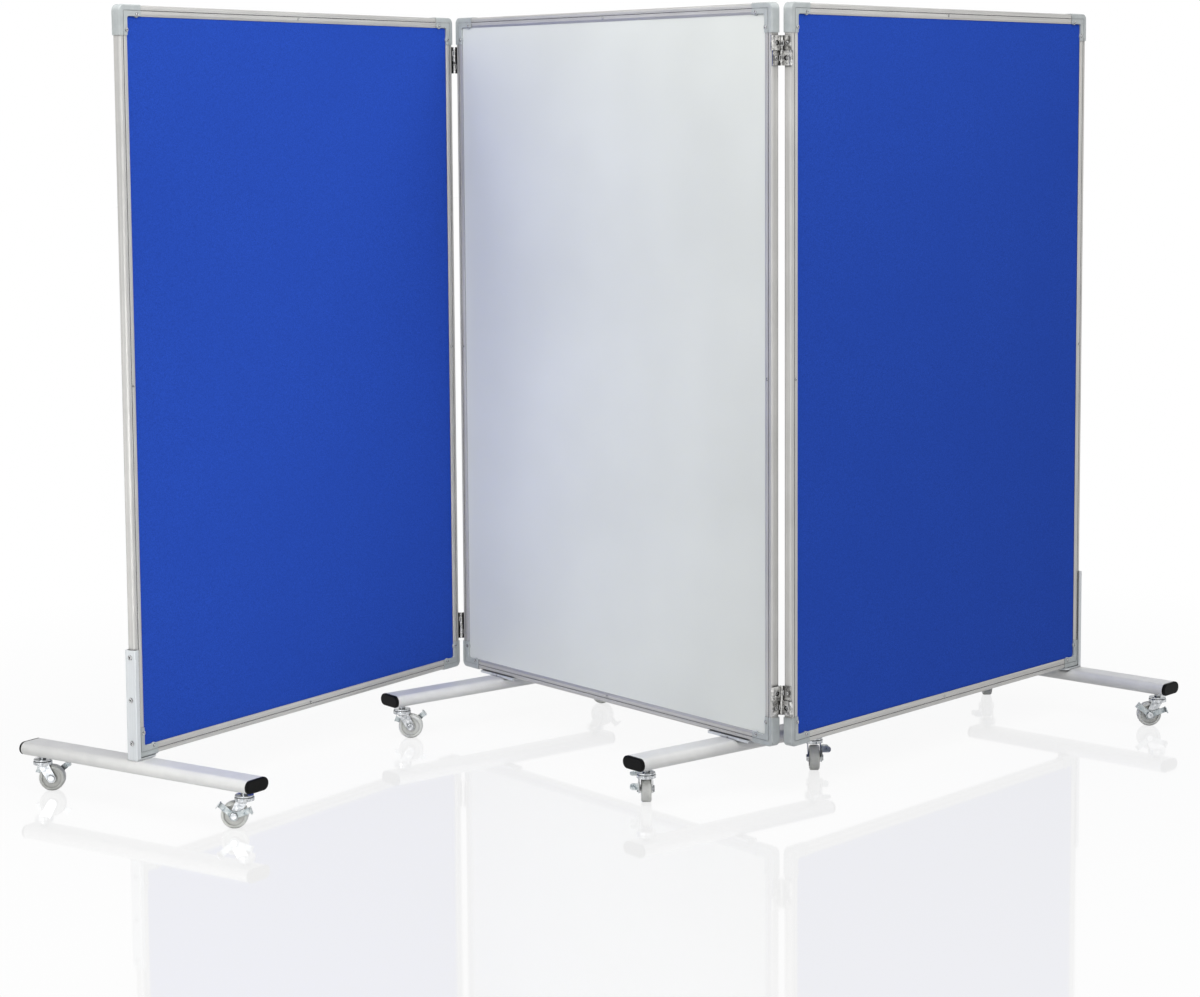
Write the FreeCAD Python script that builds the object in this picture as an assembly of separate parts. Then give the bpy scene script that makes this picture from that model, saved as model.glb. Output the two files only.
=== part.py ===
import FreeCAD, Part
import math
import os
from FreeCAD import Vector

# Rolling room divider: three boards in aluminium frames, folded in a zig-zag on two
# double-action hinges per seam, standing on four feet with two braked casters each.
# Millimetres and degrees. The floor is z = 0 and the middle board faces -Y.

os.makedirs("parts", exist_ok=True)

# Boards and their frames
panel_width = 1000.0
panel_height = 1400.0
floor_gap = 100.0
frame_depth = 18.0
frame_face = 20.5
frame_edge_round = 4.0
groove_from_edge = 9.5
groove_width = 1.6
groove_depth = 1.4
lip_width = 4.0
lip_drop = 1.5
chamber_from_edge = 2.5
chamber_width = 5.5
chamber_depth = 13.0
slot_from_edge = 10.0
core_thickness = 11.0
sheet_thickness = 1.0
seat_fit = 0.1

# Corner caps
cap_arm = 55.0
cap_proud = 1.2
cap_corner_round = 12.0
cap_inner_round = 4.0
cap_outer_fillet = 2.5
cap_inner_fillet = 1.5
cap_groove_depth = 1.0
boss_radius = 6.0
boss_along = 45.0
boss_from_edge = 16.5
boss_chamfer = 0.8
spigot_length = 12.0

# Screws and rivets
screw_head_radius = 3.4
screw_head_height = 1.4
screw_head_round = 0.7
screw_shank_radius = 1.9
screw_shank_length = 4.0
recess_length = 4.0
recess_width = 0.9
recess_depth = 0.8
rivet_head_radius = 2.6
rivet_head_height = 1.0
rivet_head_round = 0.5
rivet_shank_radius = 1.4
rivet_shank_length = 3.0
rivet_hole_radius = 0.9
rivet_hole_depth = 0.6
rivet_from_edge = 13.5

# Folding hinges
fold_gap = 8.0
left_fold = 107.3
right_fold = 98.7
hinge_from_cap = 5.0
hinge_height = 56.0
knuckle_radius = 3.5
knuckle_proud = 2.5
knuckle_gap = 0.3
knuckles_per_half = 3
pin_radius = 1.5
running_fit = 0.05
leaf_thickness = 1.5
leaf_inset = 0.5
link_thickness = 1.5
link_inset = 1.5
link_hole_radius = 5.0
hinge_screw_length = 6.0
hinge_head_height = 1.2

# Feet
tube_width = 60.0
tube_height = 25.0
tube_wall = 2.0
tube_top_below_panel = 5.0
long_foot_length = 571.0
short_foot_length = 487.0
outer_foot_inset = 17.0
middle_foot_inset = 125.0
plug_flange = 6.5
plug_insert = 12.0
plug_round = 3.0
post_wall = 2.5
post_reach = 6.0
post_height = 205.0
post_round = 1.6
post_rivet_shares = (0.137, 0.537, 0.932)
post_rivet_head_radius = 4.8
post_rivet_head_height = 1.3
post_rivet_shank_radius = 2.4
post_rivet_hole_radius = 1.8
post_rivet_hole_depth = 2.4
leg_reach = 54.0
bracket_length = 116.0
bracket_width = 24.0
bracket_plate = 2.5
bracket_wall = 2.0
bracket_screw_radius = 1.6
bracket_screw_height = 1.0
bracket_screw_shank_radius = 0.8

# Casters
caster_from_end = 27.5
wheel_radius = 25.0
wheel_width = 20.0
wheel_round = 4.0
wheel_dish_inner = 10.0
wheel_dish_outer = 19.0
wheel_dish_depth = 2.5
hub_width = 22.0
hub_radius = 8.0
axle_radius = 4.0
axle_head_radius = 6.5
axle_head_height = 2.6
axle_head_round = 0.9
trail = 18.0
fork_gap = 23.0
fork_wall = 1.8
fork_leg_back = 10.0
fork_leg_front = 13.0
fork_eye_radius = 8.5
crown_radius = 18.5
crown_over_wheel = 1.5
crown_height = 6.4
crown_round = 1.2
swivel_gap = 0.3
race_radius = 17.5
race_height = 3.8
race_round = 1.0
neck_radius = 6.5
stem_radius = 5.0
stem_in_tube = 15.0
kingpin_radius = 4.0
kingpin_head_radius = 6.2
kingpin_head_height = 2.2
brake_thickness = 1.5
brake_gap = 0.3
brake_hub_radius = 9.0
brake_arm_width = 11.0
brake_reach = 36.0
brake_tab_width = 13.0
brake_tab_out = 16.0
brake_tab_round = 5.5
brake_trailing_angle = 40.0
brake_leading_angle = 160.0

# Headings of the trailing wheels, seen from above in the row's own axes
caster_headings = {
    "left_back": 50.6,
    "left_front": 230.6,
    "middle_left_front": 50.6,
    "middle_left_back": 20.0,
    "middle_right_front": 140.6,
    "middle_right_back": -39.4,
    "right_front": 230.6,
    "right_back": 140.0,
}

overrun = 2.0
touching = 1e-6
right_angle = 90.0
half_turn = 180.0

# Sizes that follow from those above
half_width = panel_width / 2
half_depth = frame_depth / 2
half_core = core_thickness / 2
cap_half_depth = half_depth + cap_proud
groove_outer = groove_from_edge - groove_width / 2
groove_inner = groove_from_edge + groove_width / 2
chamber_end = chamber_from_edge + chamber_width
bar_length = panel_width - 2 * cap_arm
stile_length = panel_height - 2 * cap_arm
seam_half = fold_gap / 2
hinge_from_end = cap_arm + hinge_from_cap
pin_offset = half_depth + knuckle_proud
hinge_half = hinge_height / 2
tube_top = floor_gap - tube_top_below_panel
tube_middle = tube_top - tube_height / 2
tube_bottom = tube_top - tube_height
crown_low = 2 * wheel_radius + crown_over_wheel
crown_top = crown_low + crown_height
race_low = crown_top + swivel_gap
race_top = race_low + race_height
leg_outer = fork_gap / 2 + fork_wall
brake_inner = leg_outer + brake_gap
brake_outer = brake_inner + brake_thickness

x_axis = Vector(1, 0, 0)
y_axis = Vector(0, 1, 0)
z_axis = Vector(0, 0, 1)
centre = Vector(0, 0, 0)


# A block between two values on each axis
def block(x0, x1, y0, y1, z0, z1):
    return Part.makeBox(x1 - x0, y1 - y0, z1 - z0, Vector(x0, y0, z0))


# A round bar from a point along an axis
def rod(radius, start, axis, length):
    return Part.makeCylinder(radius, length, start, axis)


def moved(shape, x, y, z):
    copy = shape.copy()
    copy.translate(Vector(x, y, z))
    return copy


def turned(shape, angle, axis=z_axis, pivot=centre):
    copy = shape.copy()
    copy.rotate(pivot, axis, angle)
    return copy


def fused(first, *others):
    return first.fuse(list(others)).removeSplitter()


# A closed outline through corners, each rounded by its own radius
def rounded_outline(corners):
    ends = []
    count = len(corners)
    for index in range(count):
        here, radius = corners[index]
        if radius <= 0:
            ends.append((here, None, here))
            continue
        back = (corners[index - 1][0] - here).normalize()
        ahead = (corners[(index + 1) % count][0] - here).normalize()
        half = back.getAngle(ahead) / 2
        reach = radius / math.tan(half)
        apex = here + (back + ahead).normalize() * (radius / math.sin(half) - radius)
        ends.append((here + back * reach, apex, here + ahead * reach))
    edges = []
    for index in range(count):
        start, apex, finish = ends[index]
        if apex is not None:
            edges.append(Part.Arc(start, apex, finish).toShape())
        following = ends[(index + 1) % count][0]
        if (following - finish).Length > touching:
            edges.append(Part.makeLine(finish, following))
    return Part.Wire(edges)


def prism(corners, along):
    return Part.Face(rounded_outline(corners)).extrude(along)


# Rounds the edges of a solid whose middle passes a test
def eased(shape, radius, chosen):
    edges = [edge for edge in shape.Edges if chosen(edge.CenterOfMass)]
    return shape.makeFillet(radius, edges)


# A screw or rivet with its head above z = 0 and a recess in the head
def fastener(head_radius, head_height, head_round, shank_radius, shank_length, recess):
    head = rod(head_radius, centre, z_axis, head_height)
    head = eased(head, head_round, lambda at: at.z > head_height - head_round / 2)
    for tool in recess(head_height):
        head = head.cut(tool)
    return fused(head, rod(shank_radius, Vector(0, 0, -shank_length), z_axis, shank_length))


def cross_recess(top):
    half_long = recess_length / 2
    half_wide = recess_width / 2
    low = top - recess_depth
    return [
        block(-half_long, half_long, -half_wide, half_wide, low, top + overrun),
        block(-half_wide, half_wide, -half_long, half_long, low, top + overrun),
    ]


def rivet_recess(top):
    low = top - rivet_hole_depth
    return [rod(rivet_hole_radius, Vector(0, 0, low), z_axis, rivet_hole_depth + overrun)]


def post_rivet_recess(top):
    low = top - post_rivet_hole_depth
    return [rod(post_rivet_hole_radius, Vector(0, 0, low), z_axis, post_rivet_hole_depth + overrun)]


cap_screw = fastener(screw_head_radius, screw_head_height, screw_head_round,
                     screw_shank_radius, screw_shank_length, cross_recess)
hinge_screw = fastener(screw_head_radius, hinge_head_height, screw_head_round,
                       screw_shank_radius, hinge_screw_length, cross_recess)
rail_rivet = fastener(rivet_head_radius, rivet_head_height, rivet_head_round,
                      rivet_shank_radius, rivet_shank_length, rivet_recess)
post_rivet_depth = post_wall + cap_proud + chamber_from_edge
post_rivet = fastener(post_rivet_head_radius, post_rivet_head_height, rivet_head_round,
                      post_rivet_shank_radius, post_rivet_depth, post_rivet_recess)
bracket_screw = fastener(bracket_screw_radius, bracket_screw_height, rivet_head_round,
                         bracket_screw_shank_radius, bracket_wall, rivet_recess)


# Puts a fastener on a face that looks along -Y (side -1) or +Y (side 1)
def on_face(piece, side, x, y, z):
    return moved(turned(piece, -side * right_angle, x_axis), x, side * y, z)


# Puts a fastener on a board's outer edge (side -1 or 1), standing off it by a height
def on_edge(piece, side, off, z):
    return moved(turned(piece, side * right_angle, y_axis), side * (half_width + off), 0, z)


# The clearance hole of a fastener on an edge, and of one on a face
def edge_hole(radius, depth, side, off, z):
    start = Vector(side * (half_width + off + overrun), 0, z)
    return rod(radius + seat_fit, start, x_axis * -side, depth + overrun)


def face_hole(radius, depth, side, x, y, z):
    start = Vector(x, side * (y + overrun), z)
    return rod(radius + seat_fit, start, y_axis * -side, depth + overrun)


# The frame's section, from its outer edge (0) inward, at a point given by a placing rule
def frame_section(at):
    flat = half_depth - groove_depth
    lip_from = frame_face - lip_width
    lip_low = half_depth - lip_drop
    upper = [
        (0, half_depth, frame_edge_round),
        (groove_outer, half_depth, 0),
        (groove_outer, flat, 0),
        (groove_inner, flat, 0),
        (groove_inner, half_depth, 0),
        (lip_from, half_depth, 0),
        (frame_face, lip_low, 0),
        (frame_face, half_core, 0),
        (slot_from_edge, half_core, 0),
    ]
    lower = [(inward, -depth, radius) for inward, depth, radius in reversed(upper)]
    return [(at(inward, depth), radius) for inward, depth, radius in upper + lower]


def frame_bar(at, along):
    section = prism(frame_section(at), along)
    half = chamber_depth / 2
    hollow = [
        (at(chamber_from_edge, -half), 0),
        (at(chamber_end, -half), 0),
        (at(chamber_end, half), 0),
        (at(chamber_from_edge, half), 0),
    ]
    return section.cut(prism(hollow, along))


# The places of the four mid-length rivets on one face of a board: x and height
rivet_places = [
    (0, rivet_from_edge),
    (0, panel_height - rivet_from_edge),
    (rivet_from_edge - half_width, panel_height / 2),
    (half_width - rivet_from_edge, panel_height / 2),
]


def with_rivet_holes(bar):
    for side in (-1, 1):
        for x, z in rivet_places:
            bar = bar.cut(face_hole(rivet_shank_radius, rivet_shank_length, side, x, half_depth, z))
    return bar


def make_rails():
    start = -bar_length / 2
    along = Vector(bar_length, 0, 0)
    low = frame_bar(lambda inward, depth: Vector(start, depth, inward), along)
    high = frame_bar(lambda inward, depth: Vector(start, depth, panel_height - inward), along)
    return [with_rivet_holes(low), with_rivet_holes(high)]


# The stiles take the hinge screws on the sides that carry a hinge, and the post rivets on an outer side
def make_stiles(hinge_sides, post_side):
    along = Vector(0, 0, stile_length)
    stiles = []
    for side in (-1, 1):
        stile = frame_bar(lambda inward, depth: Vector(side * (half_width - inward), depth, cap_arm), along)
        stile = with_rivet_holes(stile)
        if side in hinge_sides:
            for height in hinge_screw_heights():
                hole = edge_hole(screw_shank_radius, hinge_screw_length, side, leaf_thickness, height)
                stile = stile.cut(hole)
        if side == post_side:
            for tool in post_rivet_holes(post_side):
                stile = stile.cut(tool)
        stiles.append(stile)
    return stiles


# The cap's L outline in x and z, grown inward by a clearance, with the board's corner at the origin
def cap_outline(grown, depth):
    outer = -cap_proud
    inner = frame_face + grown
    corners = [
        (Vector(outer, depth, outer), cap_corner_round),
        (Vector(cap_arm, depth, outer), 0),
        (Vector(cap_arm, depth, inner), 0),
        (Vector(inner, depth, inner), cap_inner_round - grown),
        (Vector(inner, depth, cap_arm), 0),
        (Vector(outer, depth, cap_arm), 0),
    ]
    return corners


def cap_body(grown, half, chamfer):
    ell = prism(cap_outline(grown, -half), Vector(0, 2 * half, 0))
    bosses = []
    for x, z in ((boss_along, boss_from_edge), (boss_from_edge, boss_along)):
        boss = rod(boss_radius + grown, Vector(x, -half, z), y_axis, 2 * half)
        if chamfer > 0:
            boss = boss.makeChamfer(chamfer, [edge for edge in boss.Edges if edge.Closed])
        bosses.append(boss)
    return ell, bosses


# A groove that follows both arms and bends round the corner, cut into one face
def cap_groove(side):
    low = cap_half_depth - cap_groove_depth
    far = cap_arm + overrun

    def region(inward):
        depth = side * low
        bend = max(cap_corner_round - cap_proud - inward, 0)
        return prism([
            (Vector(inward, depth, inward), bend),
            (Vector(far, depth, inward), 0),
            (Vector(far, depth, far), 0),
            (Vector(inward, depth, far), 0),
        ], Vector(0, side * (cap_groove_depth + overrun), 0))

    return region(groove_outer).cut(region(groove_inner))


# One corner cap, for the lower left corner
def make_cap():
    ell, bosses = cap_body(0, cap_half_depth, boss_chamfer)
    near_face = cap_half_depth - touching

    def outer_edge(at):
        outside = at.x < cap_corner_round / 2 - cap_proud and at.z < cap_arm - touching
        below = at.z < cap_corner_round / 2 - cap_proud and at.x < cap_arm - touching
        on_edge = at.x < touching or at.z < touching or (outside and below)
        return abs(at.y) > near_face and (outside or below) and on_edge

    def inner_edge(at):
        inside = at.x > frame_face - touching and at.z > frame_face - touching
        return abs(at.y) > near_face and inside and at.x < cap_arm - touching and at.z < cap_arm - touching

    ell = eased(ell, cap_outer_fillet, outer_edge)
    ell = eased(ell, cap_inner_fillet, inner_edge)
    cap = fused(ell, *bosses)
    slot_end = cap_arm + boss_radius
    cap = cap.cut(block(slot_from_edge, slot_end, -half_core, half_core, slot_from_edge, slot_end))
    low = chamber_from_edge + seat_fit
    high = chamber_end - seat_fit
    deep = chamber_depth / 2 - seat_fit
    start = cap_arm - spigot_length
    finish = cap_arm + spigot_length
    level_spigot = block(start, finish, -deep, deep, low, high)
    upright_spigot = block(low, high, -deep, deep, start, finish)
    cap = fused(cap, level_spigot, upright_spigot)
    for side in (-1, 1):
        cap = cap.cut(cap_groove(side))
        for x, z in ((boss_along, boss_from_edge), (boss_from_edge, boss_along)):
            cap = cap.cut(face_hole(screw_shank_radius, screw_shank_length, side, x, cap_half_depth, z))
    return cap


# Copies a lower left corner piece to the corner on the given side and end of a board
def at_corner(piece, side, end):
    copy = piece.copy()
    if side > 0:
        copy = copy.mirror(centre, x_axis)
    if end > 0:
        copy = copy.mirror(centre, z_axis)
    return moved(copy, side * half_width, 0, panel_height if end > 0 else 0)


corners_of_board = [(-1, -1), (1, -1), (-1, 1), (1, 1)]
plain_cap = make_cap()


def make_caps(post_side):
    caps = []
    for side, end in corners_of_board:
        cap = at_corner(plain_cap, side, end)
        if side == post_side and end < 0:
            for tool in post_rivet_holes(post_side):
                cap = cap.cut(tool)
        caps.append(cap)
    return caps


def make_core():
    half = half_width - slot_from_edge
    return [block(-half, half, -half_core, half_core, slot_from_edge, panel_height - slot_from_edge)]


# The two board faces, cut back round the caps
def make_sheets():
    half = half_width - frame_face
    ell, bosses = cap_body(seat_fit, cap_half_depth, 0)
    sheets = []
    for side in (-1, 1):
        inner, outer = sorted((side * half_core, side * (half_core + sheet_thickness)))
        sheet = block(-half, half, inner, outer, frame_face, panel_height - frame_face)
        for corner_side, end in corners_of_board:
            for tool in [ell] + bosses:
                sheet = sheet.cut(at_corner(tool, corner_side, end))
        sheets.append(sheet)
    return sheets


def hinge_starts():
    return [hinge_from_end, panel_height - hinge_from_end - hinge_height]


# Each leaf has a screw in the middle of its lower and upper half
def hinge_screw_heights():
    return [start + hinge_half * half + hinge_half / 2 for start in hinge_starts() for half in (0, 1)]


def board_fasteners(hinge_sides, post_side):
    pieces = []
    for side in (-1, 1):
        for x, z in rivet_places:
            pieces.append(on_face(rail_rivet, side, x, half_depth, z))
        for corner_side, end in corners_of_board:
            for along, inward in ((boss_along, boss_from_edge), (boss_from_edge, boss_along)):
                x = corner_side * (half_width - along)
                z = inward if end < 0 else panel_height - inward
                pieces.append(on_face(cap_screw, side, x, cap_half_depth, z))
    for side in hinge_sides:
        for height in hinge_screw_heights():
            pieces.append(on_edge(hinge_screw, side, leaf_thickness, height))
    if post_side:
        for height in post_rivet_heights():
            pieces.append(on_edge(post_rivet, post_side, post_back, height))
    return pieces


# Outer post: a channel over the lower corner of a board, with a foot leg under it
post_outer = cap_half_depth + post_wall
post_back = cap_proud + post_wall


def post_rivet_heights():
    return [post_height * share for share in post_rivet_shares]


def post_rivet_holes(side):
    return [edge_hole(post_rivet_shank_radius, post_rivet_depth, side, post_back, height)
            for height in post_rivet_heights()]


def make_post(side):
    low = -tube_top_below_panel
    tall = Vector(0, 0, post_height - low)
    outside = [
        (Vector(-post_back, -post_outer, low), post_round),
        (Vector(post_reach, -post_outer, low), 0),
        (Vector(post_reach, post_outer, low), 0),
        (Vector(-post_back, post_outer, low), post_round),
    ]
    channel = prism(outside, tall)
    inside = block(-cap_proud, post_reach + overrun, -cap_half_depth, cap_half_depth,
                   low, post_height + overrun)
    leg = prism([
        (Vector(-post_back, -post_outer, low), post_round),
        (Vector(leg_reach, -post_outer, low), post_outer),
        (Vector(leg_reach, post_outer, low), post_outer),
        (Vector(-post_back, post_outer, low), post_round),
    ], Vector(0, 0, tube_top_below_panel - cap_proud))
    post = fused(channel.cut(inside), leg)
    if side > 0:
        post = post.mirror(centre, x_axis)
    post = moved(post, side * half_width, 0, 0)
    for tool in post_rivet_holes(side):
        post = post.cut(tool)
    return post


# Flat-oval outline standing across the tube's run, smaller by an inset
def oval(inset, y):
    half_wide = tube_width / 2 - inset
    half_tall = tube_height / 2 - inset
    return [
        (Vector(-half_wide, y, -half_tall), half_tall),
        (Vector(half_wide, y, -half_tall), half_tall),
        (Vector(half_wide, y, half_tall), half_tall),
        (Vector(-half_wide, y, half_tall), half_tall),
    ]


def foot_centre_height():
    return tube_middle - floor_gap


def make_tube(length, x):
    run = Vector(0, length, 0)
    tube = prism(oval(0, -length / 2), run).cut(prism(oval(tube_wall, -length / 2), run))
    for end in (-1, 1):
        start = Vector(0, end * (length / 2 - caster_from_end), -tube_height / 2 - overrun)
        tube = tube.cut(rod(stem_radius + seat_fit, start, z_axis, tube_wall + 2 * overrun))
    return moved(tube, x, 0, foot_centre_height())


def make_plugs(length, x):
    plug = prism(oval(0, 0), Vector(0, plug_flange, 0))
    plug = eased(plug, plug_round, lambda at: at.y > plug_flange - touching)
    insert = prism(oval(tube_wall + seat_fit, -plug_insert), Vector(0, plug_insert, 0))
    plug = moved(fused(plug, insert), 0, length / 2, 0)
    return [moved(turned(plug, angle), x, 0, foot_centre_height()) for angle in (0, half_turn)]


# A shallow channel between the bottom rail and a middle foot
def make_bracket(x):
    half_long = bracket_length / 2
    half_wide = bracket_width / 2
    body = block(-half_long, half_long, -half_wide, half_wide, -tube_top_below_panel, 0)
    inner = half_wide - bracket_wall
    body = body.cut(block(-half_long - overrun, half_long + overrun, -inner, inner,
                          -tube_top_below_panel - overrun, -bracket_plate))
    body = moved(body, x, 0, 0)
    for side in (-1, 1):
        hole = face_hole(bracket_screw_shank_radius, bracket_wall, side, x, half_wide, bracket_screw_level)
        body = body.cut(hole)
    return body


bracket_screw_level = -tube_top_below_panel / 2


def bracket_screws(x):
    return [on_face(bracket_screw, side, x, bracket_width / 2, bracket_screw_level) for side in (-1, 1)]


# Double-action hinge. The seam's middle line is x = 0; the hinge starts at z = 0.
# Knuckles stand on a front row and a back row; each half of a row has leaf, link, leaf knuckles.
knuckle_length = (hinge_half - (knuckles_per_half - 1) * knuckle_gap) / knuckles_per_half


def knuckle_span(half, index):
    low = hinge_half * half + index * (knuckle_length + knuckle_gap)
    return low, low + knuckle_length


def knuckle(row, half, index):
    low, high = knuckle_span(half, index)
    return rod(knuckle_radius, Vector(0, row * pin_offset, low), z_axis, high - low)


# The strip that ties a plate between two x values to a knuckle
def knuckle_strip(x0, x1, row, half, index, root):
    low, high = knuckle_span(half, index)
    near, far = sorted((row * root, row * pin_offset))
    return block(x0, x1, near, far, low, high)


def bored(shape):
    for row in (-1, 1):
        start = Vector(0, row * pin_offset, -overrun)
        shape = shape.cut(rod(pin_radius + running_fit, start, z_axis, hinge_height + 2 * overrun))
    return shape


# The leaf on the left board's edge: knuckles in front above, behind below
def make_leaf():
    reach = half_depth - leaf_inset
    inner = leaf_thickness - seam_half
    leaf = block(-seam_half, inner, -reach, reach, 0, hinge_height)
    pieces = []
    for row, half in ((-1, 1), (1, 0)):
        for index in range(0, knuckles_per_half, 2):
            pieces.append(knuckle(row, half, index))
            pieces.append(knuckle_strip(-seam_half, inner, row, half, index, reach - leaf_inset))
    leaf = bored(fused(leaf, *pieces))
    for half in (0, 1):
        start = Vector(-seam_half - overrun, 0, hinge_half * half + hinge_half / 2)
        leaf = leaf.cut(rod(screw_shank_radius + seat_fit, start, x_axis, leaf_thickness + 2 * overrun))
    return leaf


# A link ties the front row to the back row within one half of the hinge
def make_link(half):
    reach = half_depth - link_inset
    thin = link_thickness / 2
    low = knuckle_span(half, 0)[0] + knuckle_gap
    high = knuckle_span(half, knuckles_per_half - 1)[1] - knuckle_gap
    link = block(-thin, thin, -reach, reach, low, high)
    pieces = []
    for row in (-1, 1):
        for index in range(1, knuckles_per_half, 2):
            pieces.append(knuckle(row, half, index))
            pieces.append(knuckle_strip(-thin, thin, row, half, index, reach - link_inset))
    link = bored(fused(link, *pieces))
    start = Vector(-thin - overrun, 0, hinge_half * half + hinge_half / 2)
    return link.cut(rod(link_hole_radius, start, x_axis, link_thickness + 2 * overrun))


def make_pin(row, half):
    low = knuckle_span(half, 0)[0]
    high = knuckle_span(half, knuckles_per_half - 1)[1]
    return rod(pin_radius, Vector(0, row * pin_offset, low + knuckle_gap), z_axis, high - low - knuckle_gap)


leaf_on_left = make_leaf()
leaf_on_right = turned(leaf_on_left, half_turn)
links = [make_link(half) for half in (0, 1)]


# All pieces of one seam, sorted by the board that carries them.
# The upper link and the working pins stay with the middle board, the lower link follows the outer one.
def make_seam(outer_side):
    working_row = outer_side
    outer_leaf = leaf_on_left if outer_side < 0 else leaf_on_right
    middle_leaf = leaf_on_right if outer_side < 0 else leaf_on_left
    outer, middle, pins = [], [], []
    for start in hinge_starts():
        outer += [moved(piece, 0, 0, start) for piece in (outer_leaf, links[0], make_pin(-working_row, 0))]
        middle += [moved(piece, 0, 0, start) for piece in (middle_leaf, links[1])]
        working = [make_pin(working_row, 0), make_pin(working_row, 1), make_pin(-working_row, 1)]
        pins += [moved(piece, 0, 0, start) for piece in working]
    return outer, middle, pins


# Fixed part of a caster on the kingpin's axis: stem, neck, upper race and kingpin with its head
def make_stem():
    race = rod(race_radius, Vector(0, 0, race_low), z_axis, race_height)
    race = race.makeFillet(race_round, [edge for edge in race.Edges if edge.Closed])
    neck = rod(neck_radius, Vector(0, 0, race_top), z_axis, tube_bottom - race_top)
    stem = rod(stem_radius, Vector(0, 0, race_top), z_axis, tube_bottom + stem_in_tube - race_top)
    head_top = crown_low - swivel_gap
    head_low = head_top - kingpin_head_height
    pin = rod(kingpin_radius, Vector(0, 0, head_low), z_axis, race_top - head_low)
    head = rod(kingpin_head_radius, Vector(0, 0, head_low), z_axis, kingpin_head_height)
    return fused(race, neck, stem, pin, head)


# The touch point of a line from an outside point to a circle in x and z
def touch_point(middle, radius, outside, turn, y):
    away = math.atan2(outside[1] - middle[1], outside[0] - middle[0])
    span = math.hypot(outside[0] - middle[0], outside[1] - middle[1])
    angle = away + turn * math.acos(radius / span)
    return Vector(middle[0] + radius * math.cos(angle), y, middle[1] + radius * math.sin(angle))


# Fork: a crown disc with two legs that slant back to the axle
def make_fork():
    crown = rod(crown_radius, Vector(0, 0, crown_low), z_axis, crown_height)
    crown = eased(crown, crown_round, lambda at: at.z > crown_top - touching)
    bridge_top = crown_low + crown_height / 2
    bridge = block(-fork_leg_back, fork_leg_front, -leg_outer, leg_outer, crown_low, bridge_top)
    eye = (trail, wheel_radius)
    legs = []
    for inner in (-leg_outer, fork_gap / 2):
        across = Vector(0, fork_wall, 0)
        back = (-fork_leg_back, bridge_top)
        front = (fork_leg_front, bridge_top)
        legs.append(prism([
            (Vector(back[0], inner, back[1]), 0),
            (Vector(front[0], inner, front[1]), 0),
            (touch_point(eye, fork_eye_radius, front, -1, inner), 0),
            (Vector(eye[0], inner, eye[1]), 0),
            (touch_point(eye, fork_eye_radius, back, 1, inner), 0),
        ], across))
        legs.append(rod(fork_eye_radius, Vector(trail, inner, wheel_radius), y_axis, fork_wall))
    fork = fused(crown, bridge, *legs)
    fork = fork.cut(rod(kingpin_radius + running_fit, Vector(0, 0, crown_low - overrun), z_axis,
                        crown_height + 2 * overrun))
    bore = rod(axle_radius + running_fit, Vector(trail, -leg_outer - overrun, wheel_radius), y_axis,
               2 * (leg_outer + overrun))
    return fork.cut(bore)


# Axle with a head on each side; the brake side leaves room for the brake plate
def make_axle():
    brake_side = brake_outer + brake_gap
    axle = rod(axle_radius, Vector(trail, -leg_outer, wheel_radius), y_axis, leg_outer + brake_side)
    near_end = -leg_outer - axle_head_height
    near = rod(axle_head_radius, Vector(trail, near_end, wheel_radius), y_axis, axle_head_height)
    far = rod(axle_head_radius, Vector(trail, brake_side, wheel_radius), y_axis, axle_head_height)
    near = eased(near, axle_head_round, lambda at: at.y < near_end + touching)
    far = eased(far, axle_head_round, lambda at: at.y > brake_side + axle_head_height - touching)
    return fused(axle, near, far)


def make_wheel():
    hub = Vector(trail, -hub_width / 2, wheel_radius)
    edge = Vector(trail, -wheel_width / 2, wheel_radius)
    wheel = rod(wheel_radius, edge, y_axis, wheel_width)
    wheel = wheel.makeFillet(wheel_round, [ring for ring in wheel.Edges if ring.Closed])
    for start in (-wheel_width / 2 - overrun, wheel_width / 2 - wheel_dish_depth):
        place = Vector(trail, start, wheel_radius)
        dish = rod(wheel_dish_outer, place, y_axis, wheel_dish_depth + overrun)
        wheel = wheel.cut(dish.cut(rod(wheel_dish_inner, place, y_axis, wheel_dish_depth + overrun)))
    wheel = fused(wheel, rod(hub_radius, hub, y_axis, hub_width))
    bore = Vector(trail, -hub_width / 2 - overrun, wheel_radius)
    return wheel.cut(rod(axle_radius + running_fit, bore, y_axis, hub_width + 2 * overrun))


# Brake rocker: a plate on the axle with an arm and an outturned ear each way
def make_brake():
    half_arm = brake_arm_width / 2
    half_tab = brake_tab_width / 2
    tab_start = brake_reach - brake_thickness
    plate = rod(brake_hub_radius, Vector(0, brake_inner, 0), y_axis, brake_thickness)
    arms = []
    for angle in (brake_trailing_angle, brake_leading_angle):
        arm = block(0, brake_reach, brake_inner, brake_outer, -half_arm, half_arm)
        tab = prism([
            (Vector(tab_start, brake_inner, -half_tab), 0),
            (Vector(tab_start, brake_outer + brake_tab_out, -half_tab), brake_tab_round),
            (Vector(tab_start, brake_outer + brake_tab_out, half_tab), brake_tab_round),
            (Vector(tab_start, brake_inner, half_tab), 0),
        ], Vector(brake_thickness, 0, 0))
        arms += [turned(arm, -angle, y_axis), turned(tab, -angle, y_axis)]
    brake = moved(fused(plate, *arms), trail, 0, wheel_radius)
    bore = Vector(trail, brake_inner - overrun, wheel_radius)
    return brake.cut(rod(axle_radius + running_fit, bore, y_axis, brake_thickness + 2 * overrun))


stem = make_stem()
fork = make_fork()
axle = make_axle()
wheel = make_wheel()
brake = make_brake()

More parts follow.
